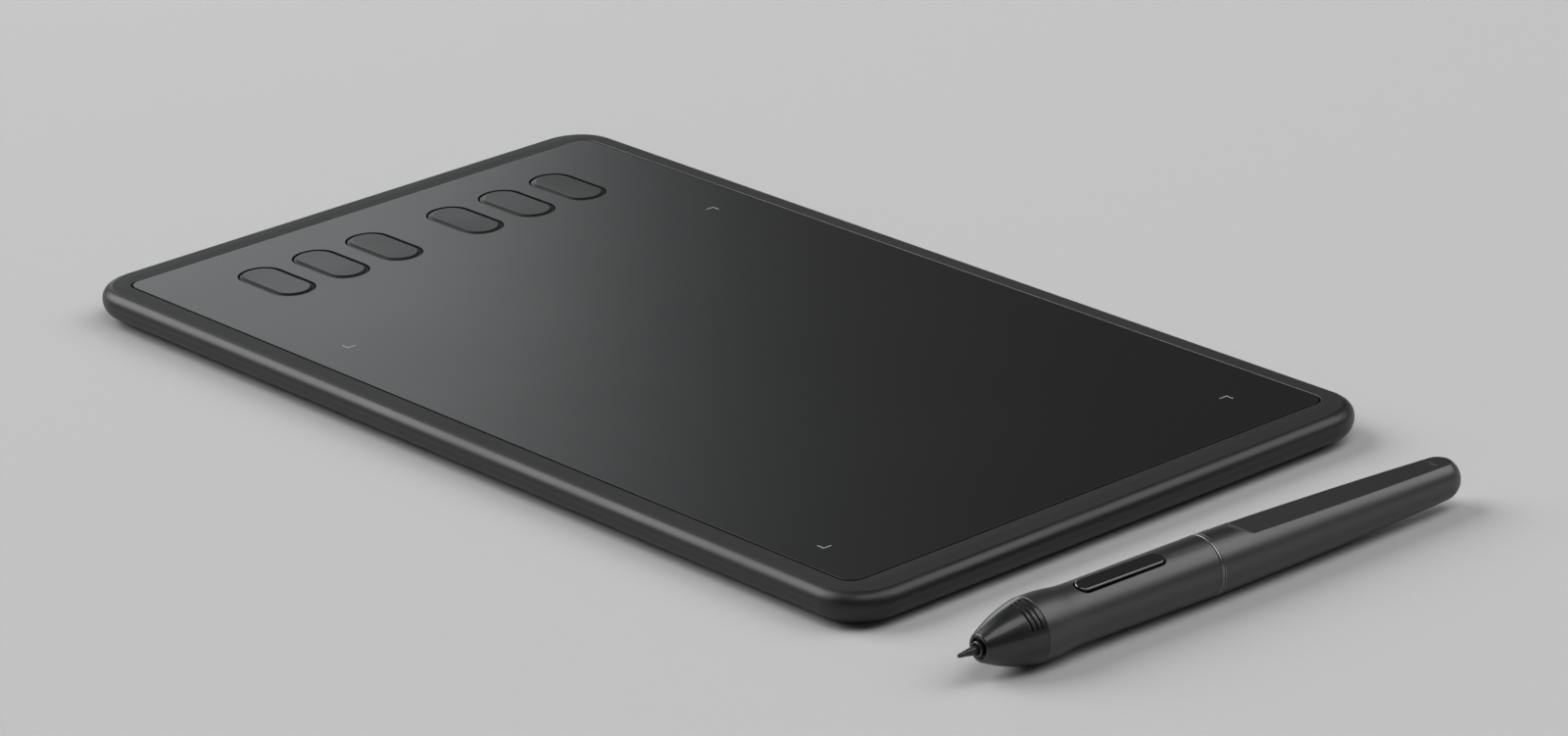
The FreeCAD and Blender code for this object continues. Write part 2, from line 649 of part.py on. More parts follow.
def key(number):
    body = new_body("key_%d" % number)
    y = key_places[number - 1]
    flange = sketch_on(body, "XY_Plane", flange_bottom, "Flange")
    obround(flange, key_x, y, size.key_length + 2 * size.flange_margin,
            size.key_width + 2 * size.flange_margin)
    pad(body, flange, size.flange_thickness)
    cap = sketch_on(body, "XY_Plane", flange_top, "Cap")
    obround(cap, key_x, y, size.key_length, size.key_width)
    top = size.body_top + size.key_rise
    solid = pad(body, cap, top - flange_top)
    doc.recompute()
    slope(body, "Bevel", solid, top, size.bevel_run, size.bevel_drop)
    stem = sketch_on(body, "XY_Plane", flange_bottom, "Stem")
    circle(stem, key_x, y, size.key_stem_diameter / 2)
    pad(body, stem, size.key_stem_rise, down=True)


def key_guide():
    body = new_body("key_guide")
    plate = sketch_on(body, "XY_Plane", panel_bottom)
    border = size.flange_margin + size.guide_border
    rounded_rectangle(plate, size.key_length + 2 * border,
                      2 * key_places[-1] + size.key_width + 2 * border, size.guide_radius)
    bind(plate, ".AttachmentOffset.Base.x", key_x)
    pad(body, plate, size.guide_thickness, down=True)
    windows = sketch_on(body, "XY_Plane", panel_bottom, "Windows")
    margin = size.flange_margin + size.guide_gap
    for y in key_places:
        obround(windows, key_x, y, size.key_length + 2 * margin, size.key_width + 2 * margin)
    pocket(body, windows, size.guide_thickness)


def bottom_cover():
    body = new_body("bottom_cover")
    shell = sketch_on(body, "XY_Plane", size.part_height)
    rounded_rectangle(shell, body_length, body_width, size.plan_radius)
    solid = pad(body, shell, size.part_height - size.body_bottom, down=True)
    doc.recompute()
    bottom_edges = edges_where(solid, at_height(size.body_bottom.value))
    dress(body, "Fillet", solid, bottom_edges, size.part_height - size.body_bottom - size.edge_band)

    lip = sketch_on(body, "XY_Plane", size.part_height, "Lip")
    lip_inset = size.frame_wall + size.lip_clearance
    rounded_rectangle(lip, body_length - 2 * lip_inset, body_width - 2 * lip_inset,
                      size.plan_radius - lip_inset)
    pad(body, lip, size.lip_rise)
    cavity = sketch_on(body, "XY_Plane", size.part_height + size.lip_rise, "Cavity")
    rounded_rectangle(cavity, body_length - 2 * cover_inset, body_width - 2 * cover_inset,
                      size.plan_radius - cover_inset)
    pocket(body, cavity, size.part_height + size.lip_rise - cover_floor_top)

    rib_height = plate_bottom - cover_floor_top
    first = sketch_on(body, "XY_Plane", cover_floor_top, "CrossRib")
    start, end = stack_start + size.rib_inset, stack_end - size.rib_inset
    reach = stack_half - size.rib_inset
    rectangle(first, start, -reach, start + size.rib_width, reach)
    rib = pad(body, first, rib_height)
    ribs = body.newObject("PartDesign::LinearPattern", "CrossRibs")
    ribs.Originals = [rib]
    ribs.Direction = (first, ["H_Axis"])
    bind(ribs, "Length", end - start - size.rib_width)
    bind(ribs, "Occurrences", size.rib_count)
    body.Tip = ribs
    doc.recompute()
    rails = sketch_on(body, "XY_Plane", cover_floor_top, "LongRibs")
    for side in (-1, 1):
        y = side * (stack_half - size.long_rib_inset)
        rectangle(rails, start, y - size.rib_width / 2, end, y + size.rib_width / 2)
    pad(body, rails, rib_height)

    posts = sketch_on(body, "XY_Plane", cover_floor_top, "Posts")
    for x, y in corner_places:
        circle(posts, x, y, size.post_diameter / 2)
    pad(body, posts, size.post_rise)
    board_posts = sketch_on(body, "XY_Plane", cover_floor_top, "BoardPosts")
    for x, y in board_post_places:
        circle(board_posts, x, y, size.board_post_diameter / 2)
    pad(body, board_posts, size.board_lift)
    board_pilots = sketch_on(body, "XY_Plane", board_bottom, "BoardPilots")
    for x, y in board_post_places:
        circle(board_pilots, x, y, size.board_screw_diameter / 2 + size.screw_gap)
    pocket(body, board_pilots, size.board_screw_length)

    seats = sketch_on(body, "XY_Plane", size.body_bottom, "FootSeats")
    for x, y in corner_places:
        circle(seats, x, y, size.foot_diameter / 2 + size.foot_gap)
    pocket(body, seats, size.foot_seat_depth, up=True)
    sinks = sketch_on(body, "XY_Plane", size.body_bottom, "HeadSinks")
    for x, y in corner_places:
        circle(sinks, x, y, size.case_head_diameter / 2 + size.hole_gap)
    pocket(body, sinks, head_seat - size.body_bottom, up=True)
    holes = sketch_on(body, "XY_Plane", size.body_bottom, "ScrewHoles")
    for x, y in corner_places:
        circle(holes, x, y, size.case_screw_diameter / 2 + size.hole_gap)
    pocket(body, holes, post_top - size.body_bottom, up=True)
    port_window(body)


def foot(number):
    body = new_body("foot_%d" % number)
    x, y = corner_places[number - 1]
    disc = sketch_on(body, "XY_Plane")
    circle(disc, x, y, size.foot_diameter / 2)
    solid = pad(body, disc, size.body_bottom + size.foot_seat_depth)
    doc.recompute()
    dress(body, "Chamfer", solid, edges_where(solid, at_height(0.0)), size.foot_bevel)


def screw(x, y, seat, head_up, shank_diameter, head_diameter, head_thickness, shank_length):
    """A pan head screw with a cross recess, its shank pointing away from its head."""
    turn = 1 if head_up else -1
    axis = Vector(0, 0, turn)
    base = Vector(x.value, y.value, seat.value)
    head = Part.makeCylinder(head_diameter.value / 2, head_thickness.value, base, axis)
    rim = [edge for edge in head.Edges if abs(edge.CenterOfMass.z - base.z) > head_thickness.value / 2]
    head = head.makeFillet(head_thickness.value * 0.45, [edge for edge in rim if edge.Closed])
    shank = Part.makeCylinder(shank_diameter.value / 2, shank_length.value, base, -axis)
    solid = head.fuse(shank)
    slot_depth = head_thickness.value * 0.5
    slot_length, slot_width = head_diameter.value * 0.55, head_diameter.value * 0.14
    top = base + axis * head_thickness.value
    for angle in (0, 90):
        slot = Part.makeBox(slot_length, slot_width, 2 * slot_depth)
        slot.translate(Vector(-slot_length / 2, -slot_width / 2, -slot_depth))
        slot.rotate(Vector(0, 0, 0), Vector(0, 0, 1), angle)
        slot.translate(top)
        solid = solid.cut(slot)
    return solid.removeSplitter()


def case_screws():
    return solid_group("case_screws", [
        screw(x, y, head_seat, False, size.case_screw_diameter, size.case_head_diameter,
              size.case_head_thickness, pilot_top - head_seat - size.pilot_reserve)
        for x, y in corner_places])


def board_screws():
    return solid_group("board_screws", [
        screw(x, y, board_top, True, size.board_screw_diameter, size.board_head_diameter,
              size.board_head_thickness, size.board_thickness + size.board_screw_length - size.hole_gap)
        for x, y in board_post_places])


def sensor_stack():
    half = stack_half
    box("stiffening_plate", stack_start, stack_end, -half, half, plate_bottom, shield_bottom)
    box("shield_sheet", stack_start, stack_end, -half, half, shield_bottom, sensor_bottom)
    body = new_body("sensor_board")
    board = sketch_on(body, "XY_Plane", sensor_bottom)
    start, tab = stack_start, size.tab_width / 2
    outline(board, [(start, -half), (stack_end, -half), (stack_end, half), (start, half),
                    (start, tab), (start - size.sensor_tab, tab), (start - size.sensor_tab, -tab),
                    (start, -tab)])
    pad(body, board, size.sensor_thickness)


def control_board():
    body = new_body("control_board")
    board = sketch_on(body, "XY_Plane", board_bottom)
    rectangle(board, board_start, -board_half, board_end, board_half)
    pad(body, board, size.board_thickness)
    holes = sketch_on(body, "XY_Plane", board_top, "ScrewHoles")
    for x, y in board_post_places:
        circle(holes, x, y, size.board_screw_diameter / 2 + size.hole_gap)
    pocket(body, holes, size.board_thickness)


def tact_switches():
    body_rise = (tact_top - board_top).value
    solids = []
    for y in key_places:
        side = size.tact_side.value
        case = Part.makeBox(side, side, body_rise, Vector(key_x.value - side / 2, y.value - side / 2,
                                                          board_top.value))
        upright = [edge for edge in case.Edges if edge.BoundBox.ZLength > body_rise / 2]
        case = case.makeChamfer(side * 0.08, upright)
        button = Part.makeCylinder(size.tact_button_diameter.value / 2, size.tact_button_rise.value,
                                   Vector(key_x.value, y.value, tact_top.value))
        solids.append(case.fuse(button))
    solid_group("tact_switches", solids)


def board_chips():
    """The controller, its crystal and its regulator on the control board."""
    solids = []
    x = (board_end - size.chip_inset).value
    for y, share in ((size.chip_y, 1.0), (-size.chip_y, 0.6), (size.chip_y * 1.6, 0.45)):
        side = size.chip_side.value * share
        solids.append(Part.makeBox(side, side, size.chip_thickness.value,
                                   Vector(x - side / 2, y.value - side / 2, board_top.value)))
    solid_group("board_chips", solids)


def ribbon():
    """The ribbon from the sensor board's tab down to its connector on the control board."""
    back = board_end
    front = back - size.connector_depth
    half = size.ribbon_width / 2
    box("ribbon_connector", front, back, -half - size.connector_rise, half + size.connector_rise,
        board_top, board_top + size.connector_rise)
    body = new_body("ribbon_cable")
    strip = sketch_on(body, "XZ_Plane", 0.0)
    entry = board_top + size.connector_rise / 2
    start = stack_start - size.sensor_tab
    end = start + size.ribbon_reach
    thin = size.ribbon_thickness
    outline(strip, [(back, entry), (end - thin, entry), (end - thin, sensor_bottom - thin),
                    (start, sensor_bottom - thin), (start, sensor_bottom), (end, sensor_bottom),
                    (end, entry - thin), (back, entry - thin)])
    pad(body, strip, size.ribbon_width, both=True)


def usb_port():
    body = new_body("usb_port")
    shell = sketch_on(body, "YZ_Plane", port_face)
    half, top, low = size.port_width / 2, board_top + size.port_rise, board_top
    bevel = size.port_bevel
    outline(shell, [(bevel - half, low), (half - bevel, low), (half, low + bevel), (half, top),
                    (-half, top), (-half, low + bevel)])
    pad(body, shell, size.port_depth)
    mouth = sketch_on(body, "YZ_Plane", port_face, "Mouth")
    wall = size.port_wall
    side = half - wall
    outline(mouth, [(bevel - side, low + wall), (side - bevel, low + wall), (side, low + wall + bevel),
                    (side, top - wall), (-side, top - wall), (-side, low + wall + bevel)])
    pocket(body, mouth, size.port_depth - 2 * wall, up=True)
    tongue = sketch_on(body, "YZ_Plane", port_face + size.port_tongue_setback, "Tongue")
    rectangle(tongue, -size.tongue_width / 2, port_middle, size.tongue_width / 2,
              port_middle + size.tongue_thickness)
    pad(body, tongue, size.port_depth - size.port_tongue_setback)


# Pen, drawn along +X from its tip

pen_pieces = []


def rest_angle():
    """The pen rests on its crown and on its metal ring, so its axis falls a little."""
    return math.atan2((size.ring_radius - size.crown_radius).value, (ring_end - crown_end).value)


def pen_placement(turn=0.0):
    tilt = rest_angle()
    heading = Rotation(Vector(0, 0, 1), 90 - size.pen_yaw.value)
    fall = Rotation(Vector(0, 1, 0), -math.degrees(tilt))
    x = body_length / 2 + size.pen_gap
    y = -body_width / 2 - size.pen_overhang
    z = size.crown_radius.value * math.cos(tilt) - crown_end.value * math.sin(tilt)
    return Placement(Vector(x.value, y.value, z), heading * fall * Rotation(Vector(1, 0, 0), turn))


def pen_body(label, turn=0.0):
    body = new_body(label)
    pen_pieces.append((body, turn))
    return body


def turned(label, points, turn=0.0):
    body = pen_body(label, turn)
    profile = sketch_on(body, "XZ_Plane")
    outline(profile, points)
    revolve(body, profile)
    return body


def pen_nib():
    tip = size.nib_tip_radius
    side = tip * DIAGONAL
    turned("pen_nib", [
        (0, 0, (tip - side, side)), (tip, tip), (size.nib_cone, size.nib_radius),
        (nib_end, size.nib_radius), (nib_end, 0)])


def pen_nose_cone():
    body = pen_body("pen_nose_cone", size.slot_turn.value)
    profile = sketch_on(body, "XZ_Plane")
    bore = size.nib_radius + size.nib_clearance
    collar_start = nose_start - size.collar_reach
    groove_floor = nose_start + size.nose_groove_depth
    middle = (size.nose_face_radius + size.crown_radius) / 2 + size.nose_bulge
    cavity = size.core_radius + size.core_clearance
    spigot_bore = size.spigot_radius - size.spigot_wall
    outline(profile, [
        (collar_start, bore), (collar_start, size.collar_radius - size.edge_break),
        (collar_start + size.edge_break, size.collar_radius), (groove_floor, size.collar_radius),
        (groove_floor, size.nose_groove_radius), (nose_start, size.nose_groove_radius),
        (nose_start, size.nose_face_radius - size.edge_break),
        (nose_start + size.edge_break, size.nose_face_radius, ((nose_start + nose_end) / 2, middle)),
        (nose_end - size.joint_break, size.crown_radius), (nose_end, size.crown_radius - size.joint_break),
        (nose_end, size.spigot_radius),
        (spigot_end, size.spigot_radius), (spigot_end, spigot_bore), (nose_end, spigot_bore),
        (core_start, cavity), (core_start, bore)])
    revolve(body, profile)

    slots = sketch_on(body, "XZ_Plane", 0.0, "Slots")
    slope = (size.crown_radius - middle) / (size.nose_length / 2)
    for step in range(SLOT_COUNT):
        setback = size.slot_setback + step * size.slot_pitch
        floor = size.crown_radius - setback * slope - size.slot_depth
        rectangle(slots, nose_end - setback - size.slot_width, floor, nose_end - setback,
                  size.crown_radius + size.slot_width)
    cut = revolve(body, slots, cut=True)
    bind(cut, "Angle", size.slot_angle)
    cut.Midplane = True


def pen_grip():
    mouth = size.spigot_radius + size.pen_fit
    mouth_end = spigot_end + size.pen_fit
    quarter = size.shoulder_length / 4
    drop = (size.crown_radius - size.waist_radius) / 8
    body = turned("pen_grip", [
        (nose_end, mouth), (nose_end, size.crown_radius - size.joint_break),
        (nose_end + size.joint_break, size.crown_radius),
        (crown_end, size.crown_radius, (crown_end + quarter, size.crown_radius - drop)),
        (crown_end + 2 * quarter, size.crown_radius - 4 * drop,
         (waist_start - quarter, size.waist_radius + drop)),
        (waist_start, size.waist_radius), (ring_start, size.joint_radius),
        (ring_start, size.neck_radius), (neck_end, size.neck_radius), (neck_end, size.grip_bore),
        (mouth_end, size.grip_bore), (mouth_end, mouth)], size.switch_turn.value)
    window = sketch_on(body, "XY_Plane", size.crown_radius, "SwitchWindow")
    obround(window, switch_place, 0, size.switch_length + 2 * size.switch_gap,
            size.switch_width + 2 * size.switch_gap)
    pocket(body, window, size.crown_radius)


def pen_ring():
    inner = size.neck_radius + size.pen_fit
    groove = ring_start + size.ring_groove_place
    groove_end = groove + size.ring_groove_width
    groove_floor = size.ring_radius - size.ring_groove_depth
    shoulder = size.ring_radius - size.edge_break
    turned("pen_ring", [
        (ring_start, inner), (ring_start, shoulder), (ring_start + size.edge_break, size.ring_radius),
        (groove, size.ring_radius), (groove, groove_floor), (groove_end, groove_floor),
        (groove_end, size.ring_radius), (ring_end, size.ring_radius), (ring_end, inner)])


def pen_rear_barrel():
    socket = size.neck_radius + size.pen_fit
    socket_end = neck_end + size.pen_fit
    bore_end = size.pen_length - size.tail_wall
    dome_start = size.pen_length - size.dome_radius
    dome_side = size.dome_radius * DIAGONAL
    middle = (size.joint_radius + size.dome_radius) / 2 + size.rear_bulge
    body = turned("pen_rear_barrel", [
        (ring_end, socket), (ring_end, size.joint_radius, ((ring_end + dome_start) / 2, middle)),
        (dome_start, size.dome_radius, (dome_start + dome_side, dome_side)),
        (size.pen_length, 0), (bore_end, 0), (bore_end, size.rear_bore_radius),
        (socket_end, size.grip_bore), (socket_end, socket)])

    flat = sketch_on(body, "XZ_Plane", 0.0, "Flat")
    start = neck_end + size.flat_setback
    ramp_end = start + size.flat_ramp
    high = 2 * size.crown_radius
    outline(flat, [(start, size.joint_radius), (ramp_end, size.flat_start_height),
                   (size.pen_length, size.flat_end_height), (size.pen_length, high), (start, high)])
    pocket(body, flat, 4 * size.crown_radius, both=True)

    slit = sketch_on(body, "XY_Plane", size.flat_start_height, "Slit")
    place, half = size.pen_length - size.slit_inset, size.slit_width / 2
    rectangle(slit, place - half, -size.slit_length / 2, place + half, size.slit_length / 2)
    share = (place - ramp_end) / (size.pen_length - ramp_end)
    fall = share * (size.flat_start_height - size.flat_end_height)
    pocket(body, slit, fall + size.slit_depth)


def pen_side_switch():
    body = pen_body("pen_side_switch", size.switch_turn.value)
    pill = sketch_on(body, "XY_Plane", size.switch_bottom)
    obround(pill, switch_place, 0, size.switch_length, size.switch_width)
    solid = pad(body, pill, size.switch_top - size.switch_bottom)
    doc.recompute()
    dress(body, "Fillet", solid, edges_where(solid, at_height(size.switch_top.value)), size.switch_round)
    web = sketch_on(body, "XY_Plane", size.switch_bottom, "Web")
    half = size.web_thickness / 2
    side = size.switch_width / 2
    rectangle(web, switch_place - half, -side, switch_place + half, side)
    pad(body, web, size.switch_bottom - size.pivot_height, down=True)
    pin = sketch_on(body, "XZ_Plane", 0.0, "Pivot")
    circle(pin, switch_place, size.pivot_height, size.pivot_radius)
    pad(body, pin, 2 * ear_outer, both=True)
    feet = sketch_on(body, "XY_Plane", size.switch_bottom, "Pressers")
    for side in (-1, 1):
        circle(feet, switch_place + side * size.presser_offset, 0, size.presser_radius)
    pad(body, feet, size.switch_bottom - pen_button_top - size.presser_gap, down=True)


def pen_carrier():
    body = pen_body("pen_carrier", size.switch_turn.value)
    trunk = sketch_on(body, "YZ_Plane", carrier_start)
    top = size.carrier_top
    edge = chord(carrier_radius, top)
    outline(trunk, [(-edge, top, (0, -carrier_radius)), (edge, top)])
    pad(body, trunk, carrier_end - carrier_start)
    trough = sketch_on(body, "XY_Plane", top, "Trough")
    side = pen_board_half - size.trough_ledge
    rectangle(trough, pen_board_start, -side, carrier_end - size.trough_wall, side)
    pocket(body, trough, size.trough_depth)
    holder_bed = sketch_on(body, "YZ_Plane", carrier_start, "HolderBed")
    circle(holder_bed, 0, 0, size.holder_radius + size.holder_clearance)
    pocket(body, holder_bed, gauge_start - carrier_start, up=True)
    gauge_bed = sketch_on(body, "YZ_Plane", gauge_start, "GaugeBed")
    circle(gauge_bed, 0, 0, size.core_radius)
    pocket(body, gauge_bed, size.gauge_length, up=True)

    ears = sketch_on(body, "XY_Plane", top, "Ears")
    for side in (-1, 1):
        rectangle(ears, switch_place - size.ear_half, side * ear_inner,
                  switch_place + size.ear_half, side * ear_outer)
    pad(body, ears, ear_top - top)
    holes = sketch_on(body, "XZ_Plane", 0.0, "PivotHoles")
    circle(holes, switch_place, size.pivot_height, size.pivot_radius + size.pivot_clearance)
    pocket(body, holes, 2 * carrier_radius, both=True)


def pen_sensing():
    """The parts round the nib, turned about the pen's axis."""
    tubes = (
        ("pen_ferrite_core", core_start, core_end, size.nib_radius + size.nib_guide, size.core_radius),
        ("pen_coil", core_start + size.coil_setback, core_start + size.coil_setback + size.coil_length,
         size.core_radius, size.coil_radius),
        ("pen_pressure_sensor", gauge_start, gauge_end, size.gauge_bore, size.core_radius))
    for label, start, end, inner, outer in tubes:
        turned(label, [(start, inner), (end, inner), (end, outer), (start, outer)])
    grip = size.nib_radius + size.holder_grip
    turned("pen_nib_holder", [
        (holder_start, grip), (nib_end, grip), (nib_end, 0), (holder_end, 0),
        (holder_end, size.holder_radius), (holder_start, size.holder_radius)])


def pen_circuit():
    body = pen_body("pen_circuit_board", size.switch_turn.value)
    board = sketch_on(body, "XY_Plane", size.carrier_top)
    rectangle(board, pen_board_start, -pen_board_half, carrier_end - size.pen_board_setback, pen_board_half)
    pad(body, board, size.pen_board_thickness)

    side, rise = size.pen_tact_side.value, size.pen_tact_rise.value
    solids = []
    for turn in (-1, 1):
        middle = Vector((switch_place + turn * size.presser_offset).value, 0, pen_board_top.value)
        case = Part.makeBox(side, side, rise, middle - Vector(side / 2, side / 2, 0))
        button = Part.makeCylinder(size.pen_tact_button_radius.value, size.pen_tact_button_rise.value,
                                   middle + Vector(0, 0, rise))
        solids.append(case.fuse(button))
    pen_pieces.append((solid_group("pen_tact_switches", solids), size.switch_turn.value))


top_frame()
surface_panel()
for key_number in range(1, KEY_COUNT + 1):
    key(key_number)
key_guide()
bottom_cover()
for foot_number in range(1, len(corner_places) + 1):
    foot(foot_number)
case_screws()
board_screws()
sensor_stack()
control_board()
tact_switches()
board_chips()
ribbon()
usb_port()
pen_nib()
pen_nose_cone()
pen_grip()
pen_ring()
pen_rear_barrel()
pen_side_switch()
pen_carrier()
pen_sensing()
pen_circuit()
for piece, turn in pen_pieces:
    piece.Placement = pen_placement(turn)
doc.recompute()


# Check every object, then write one file for each sub-part

for item in doc.Objects:
    if "Invalid" in item.State or "Error" in item.State:
        raise RuntimeError("%s did not build: %s" % (item.Label, item.State))
kinds = ("PartDesign::Body", "Part::Box", "Part::Feature")
sub_parts = [item for item in doc.Objects if item.TypeId in kinds]
for item in sub_parts:
    shape = item.Shape
    if shape.isNull() or not shape.isValid() or not shape.Solids:
        raise RuntimeError("%s has no valid solid" % item.Label)
for item in sub_parts:
    item.Shape.exportStep("parts/%s.step" % item.Label)
print("%d sub-parts written" % len(sub_parts))
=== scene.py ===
import math

import bmesh
import bpy
from mathutils import Matrix, Vector


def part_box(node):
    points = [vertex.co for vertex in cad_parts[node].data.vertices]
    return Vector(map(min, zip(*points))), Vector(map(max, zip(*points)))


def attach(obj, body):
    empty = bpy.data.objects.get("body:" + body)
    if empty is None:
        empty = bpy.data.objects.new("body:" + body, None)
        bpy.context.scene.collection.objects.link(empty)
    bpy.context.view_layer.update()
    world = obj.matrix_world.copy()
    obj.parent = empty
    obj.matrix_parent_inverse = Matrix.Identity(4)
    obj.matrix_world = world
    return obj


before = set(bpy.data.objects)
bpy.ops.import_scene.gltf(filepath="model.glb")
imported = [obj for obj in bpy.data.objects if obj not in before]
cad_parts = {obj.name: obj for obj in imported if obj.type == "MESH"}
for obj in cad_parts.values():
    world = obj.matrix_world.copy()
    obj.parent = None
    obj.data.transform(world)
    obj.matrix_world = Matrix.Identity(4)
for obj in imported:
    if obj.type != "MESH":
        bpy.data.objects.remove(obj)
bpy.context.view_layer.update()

MM = 0.001

# Camera at the photograph's angle
AZIMUTH = math.radians(50.348)
ELEVATION = math.radians(21.2944)
ROLL = math.radians(-2.8771)
DISTANCE = 1.3155476
TARGET = Vector((0.0250228, 0.000678, 0.008))
LENS_MM = 144.33
SENSOR_MM = 36.0


def add_camera():
    back = Vector((
        math.sin(AZIMUTH) * math.cos(ELEVATION),
        -math.cos(AZIMUTH) * math.cos(ELEVATION),
        math.sin(ELEVATION),
    ))
    level = Vector((0, 0, 1)).cross(back).normalized()
    up = back.cross(level)
    right = math.cos(ROLL) * level + math.sin(ROLL) * up
    top = math.cos(ROLL) * up - math.sin(ROLL) * level
    data = bpy.data.cameras.new("camera")
    data.lens = LENS_MM
    data.sensor_width = SENSOR_MM
    camera = bpy.data.objects.new("camera", data)
    bpy.context.scene.collection.objects.link(camera)
    camera.matrix_world = Matrix.Translation(TARGET + back * DISTANCE) @ Matrix((
        (right.x, top.x, back.x, 0),
        (right.y, top.y, back.y, 0),
        (right.z, top.z, back.z, 0),
        (0, 0, 0, 1),
    ))
    bpy.context.scene.camera = camera


add_camera()

# Studio: a dim room with a paler band at the horizon, whose height is given as a direction's Z
WORLD_LEVEL = 0.085
HORIZON_LEVEL = 0.5
HORIZON_BAND = (0.06, 0.14)

# Lamps: wide soft suns (direction, strength, width in degrees), and a soft box whose reflection
# fades along the drawing surface
SUN_DISTANCE = 3
SUNS = {
    "sun_front": (Vector((-0.717, -0.363, 0.594)), 2.10, 48),
    "sun_back": (Vector((0.363, 0.595, 0.717)), 1.15, 48),
    "sun_top": (Vector((0.30, -0.08, 0.95)), 0.65, 34),
}
SOFT_BOX_PLACE = Vector((-0.855, 0.405, 0.288))
SOFT_BOX_AIM = Vector((-0.10, 0.0, 0.008))
SOFT_BOX_SIZE = (0.34, 0.34)
SOFT_BOX_POWER = 0.72
SOFT_BOX_COLOUR = (0.945, 0.985, 1.0)


def aim(lamp, direction):
    lamp.rotation_mode = "QUATERNION"
    lamp.rotation_quaternion = direction.to_track_quat("-Z", "Y")


def add_lamps():
    for name, (place, strength, angle) in SUNS.items():
        data = bpy.data.lights.new(name, "SUN")
        data.angle = math.radians(angle)
        data.energy = strength
        lamp = bpy.data.objects.new(name, data)
        bpy.context.scene.collection.objects.link(lamp)
        lamp.location = place * SUN_DISTANCE
        aim(lamp, -place)
    data = bpy.data.lights.new("soft_box", "AREA")
    data.shape = "RECTANGLE"
    data.size, data.size_y = SOFT_BOX_SIZE
    data.energy = SOFT_BOX_POWER
    data.color = SOFT_BOX_COLOUR
    lamp = bpy.data.objects.new("soft_box", data)
    bpy.context.scene.collection.objects.link(lamp)
    lamp.location = SOFT_BOX_PLACE
    lamp.visible_camera = False
    aim(lamp, SOFT_BOX_AIM - SOFT_BOX_PLACE)


add_lamps()


def add_world():
    """A dim studio with a paler band at the horizon."""
    world = bpy.data.worlds.new("studio")
    bpy.context.scene.world = world
    world.use_nodes = True
    nodes, links = world.node_tree.nodes, world.node_tree.links
    nodes.clear()
    place = nodes.new("ShaderNodeTexCoord")
    split = nodes.new("ShaderNodeSeparateXYZ")
    height = nodes.new("ShaderNodeMath")
    height.operation = "ABSOLUTE"
    fade = nodes.new("ShaderNodeMapRange")
    fade.inputs["From Min"].default_value = HORIZON_BAND[0]
    fade.inputs["From Max"].default_value = HORIZON_BAND[1]
    fade.inputs["To Min"].default_value = HORIZON_LEVEL
    fade.inputs["To Max"].default_value = WORLD_LEVEL
    light = nodes.new("ShaderNodeBackground")
    light.inputs["Color"].default_value = (1.0, 1.0, 1.0, 1.0)
    out = nodes.new("ShaderNodeOutputWorld")
    links.new(place.outputs["Generated"], split.inputs[0])
    links.new(split.outputs["Z"], height.inputs[0])
    links.new(height.outputs[0], fade.inputs["Value"])
    links.new(fade.outputs["Result"], light.inputs["Strength"])
    links.new(light.outputs[0], out.inputs["Surface"])


add_world()


# Shares of open sky between which the painted gap shade goes from full to none, and samples for the
# painted gap shade and for edges
GAP_DARK, GAP_PLAIN = 0.30, 0.72
GAP_MATT = 0.5
GAP_SAMPLES = 12
EDGE_SAMPLES = 8
WEAR_SAMPLES = 4

# How far the painted gap shade, the rounded edges, the rubbed edges and the painted key crest highlight
# reach, in metres
GAP_REACH = 0.0008
SEAM_REACH = 0.0011
GLOSS_GAP_REACH = 0.0006
MOULDED_EDGE = 0.00012
RUBBED_EDGE = 0.0003
KEY_CREST_HIGHLIGHT = 0.0004


